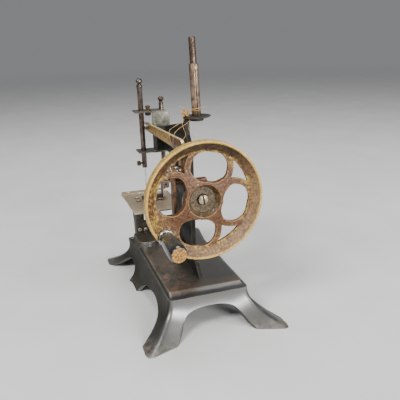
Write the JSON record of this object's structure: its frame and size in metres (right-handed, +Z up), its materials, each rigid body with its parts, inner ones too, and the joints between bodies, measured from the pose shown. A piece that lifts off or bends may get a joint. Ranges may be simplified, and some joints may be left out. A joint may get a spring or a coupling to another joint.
{
  "type": "toy sewing machine",
  "caption": "Child's hand-crank chain-stitch sewing machine: flared-leg base, C-shaped arm, spoked hand wheel, needle lever, looper, presser foot, cloth plate and spool pin.",
  "frame": {"origin": "middle of the overall box, on the ground under the toes", "axes": "+X along the arm towards the hand wheel, -Y the operator's side, +Z up"},
  "size_m": [0.145, 0.088, 0.167],
  "materials": {
    "black_japan": "gloss, worn",
    "worn_nickel": "dull, tarnished",
    "plate_steel": "satin, scratched",
    "dark_steel": "dull, brown",
    "screw_steel": "dull",
    "needle_steel": "polished",
    "worn_brass": "tarnished",
    "rusty_iron": "worn paint over rust",
    "dark_wood": "polished, dark stain",
    "ferrule_steel": "dull",
    "sleeve_brown": "bronzed, worn",
    "cotton": "matt"
  },
  "bodies": {
    "machine_frame": {"base": "black_japan", "arm": "black_japan", "arm_screws": "screw_steel", "head_bracket": "worn_nickel", "bracket_screws": "screw_steel", "pedestal": "black_japan", "pedestal_screws": "screw_steel", "cloth_plate": "plate_steel", "plate_screws": "screw_steel", "axle_stud": "dark_steel", "lever_screw": "screw_steel", "looper_screw": "screw_steel", "spool_disc": "black_japan", "spool_pin": "dark_steel", "old_thread": "cotton", "tension_stud": "worn_brass", "tension_discs": "worn_brass", "tension_spring": "dark_steel"},
    "wheel": {"handwheel": "rusty_iron", "eccentric": "rusty_iron", "handle_pin": "screw_steel"},
    "handle": {"handle_barrel": "dark_wood", "handle_ferrule": "ferrule_steel"},
    "needle_rocker": {"needle_lever": "worn_brass", "lever_link_pin": "screw_steel"},
    "link": {"drive_link": "dark_steel", "looper_link_pin": "screw_steel"},
    "looper_rocker": {"looper_lever": "dark_steel", "looper": "plate_steel", "looper_rivet": "screw_steel"},
    "needle_slider": {"needle_bar": "dark_steel", "needle_drive_stud": "screw_steel", "needle": "needle_steel", "needle_clamp_screw": "screw_steel"},
    "presser": {"presser_bar": "dark_steel", "presser_knob": "dark_steel", "presser_collar": "dark_steel", "presser_foot": "plate_steel", "presser_spring": "dark_steel"},
    "feed": {"feed_dog": "plate_steel"},
    "slide_cover": {"slide_plate": "plate_steel"},
    "sleeve": {"spool_sleeve": "sleeve_brown"},
    "tension_adjuster": {"tension_nut": "worn_brass"}
  },
  "joints": [
    {"name": "wheel_spin", "type": "hinge", "parent": "machine_frame", "child": "wheel", "pos_m": [0.045, 0, 0.078], "axis": [1, 0, 0], "continuous": true},
    {"name": "handle_spin", "type": "hinge", "parent": "wheel", "child": "handle", "pos_m": [0.055, -0.0236, 0.05916], "axis": [1, 0, 0], "continuous": true},
    {"name": "lever_rock", "type": "hinge", "parent": "machine_frame", "child": "needle_rocker", "pos_m": [0.006, -0.009, 0.0845], "axis": [0, 1, 0], "range_deg": [-11.5, 0]},
    {"name": "link_tilt", "type": "hinge", "parent": "needle_rocker", "child": "link", "pos_m": [0.033, -0.0145, 0.094], "axis": [0, 1, 0], "range_deg": [0, 11.5]},
    {"name": "looper_rock", "type": "hinge", "parent": "machine_frame", "child": "looper_rocker", "pos_m": [-0.016, -0.009, 0.046], "axis": [0, 1, 0], "range_deg": [-6.37, 0]},
    {"name": "needle_slide", "type": "slide", "parent": "machine_frame", "child": "needle_slider", "axis": [0, -0.0087, 1], "range_m": [-0.01036, 0]},
    {"name": "presser_lift", "type": "slide", "parent": "machine_frame", "child": "presser", "axis": [0, 0, 1], "range_m": [0, 0.004], "deforming": ["presser_spring"]},
    {"name": "feed_stroke", "type": "slide", "parent": "machine_frame", "child": "feed", "axis": [0, 1, 0], "range_m": [0, 0.00241]},
    {"name": "slide_plate_pull", "type": "slide", "parent": "machine_frame", "child": "slide_cover", "axis": [0, 1, 0], "range_m": [-0.012, 0]},
    {"name": "sleeve_spin", "type": "hinge", "parent": "machine_frame", "child": "sleeve", "pos_m": [0.015, 0.00626, 0.13694], "axis": [0, -0.0384, 0.9993], "continuous": true},
    {"name": "tension_turn", "type": "hinge", "parent": "machine_frame", "child": "tension_adjuster", "pos_m": [-0.0446, -0.0094, 0.1205], "axis": [0, 0, 1], "range_deg": [-180, 180]}
  ],
  "couplings": [
    {"joint": "link_tilt", "follows": "lever_rock", "ratio": -1},
    {"joint": "looper_rock", "follows": "lever_rock", "ratio": 0.5532},
    {"joint": "needle_slide", "follows": "lever_rock", "m_per_rad": 0.05153},
    {"joint": "feed_stroke", "follows": "lever_rock", "m_per_rad": -0.01196}
  ]
}
